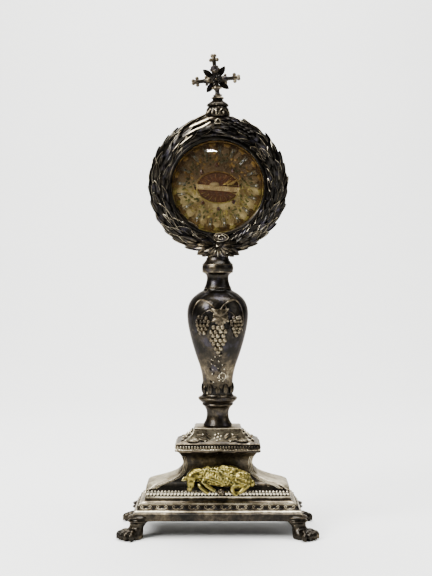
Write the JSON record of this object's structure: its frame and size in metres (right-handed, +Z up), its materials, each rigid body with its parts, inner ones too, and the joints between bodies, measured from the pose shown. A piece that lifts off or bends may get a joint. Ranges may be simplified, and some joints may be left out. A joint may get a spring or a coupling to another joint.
{
  "type": "standing reliquary",
  "caption": "Standing silver reliquary with a glazed round case in a laurel wreath, a vine-relief baluster, a stepped pedestal with a gilt lamb, and lion's paws.",
  "frame": {"origin": "on the ground under the middle of the four paws, on the axis of the stem", "axes": "+Z up along the stem, the glazed face and the lamb look along -Y, +X to the right of someone facing it"},
  "size_m": [0.134, 0.0732, 0.3214],
  "materials": {
    "dark_silver": "tarnished silver, worn bright on the high edges",
    "pale_silver": "silver with thin brown tarnish",
    "gilding": "worn gilding with green patina in the hollows",
    "pane": "clear flat pane",
    "display": "faded red-brown silk with gold braid, beads and a paper label"
  },
  "bodies": {
    "root": {"foot_front_left": "dark_silver", "foot_front_right": "dark_silver", "foot_back_left": "dark_silver", "foot_back_right": "dark_silver", "pedestal": "pale_silver", "pedestal_cap": "pale_silver", "lamb": "gilding", "lamb_boss": "dark_silver", "stem_spool": "dark_silver", "baluster": "dark_silver", "stem_collar": "dark_silver", "wreath": "dark_silver", "case": "pale_silver", "glass": "pane", "relic_board": "display", "crown_dome": "dark_silver", "cross": "dark_silver"}
  },
  "joints": []
}
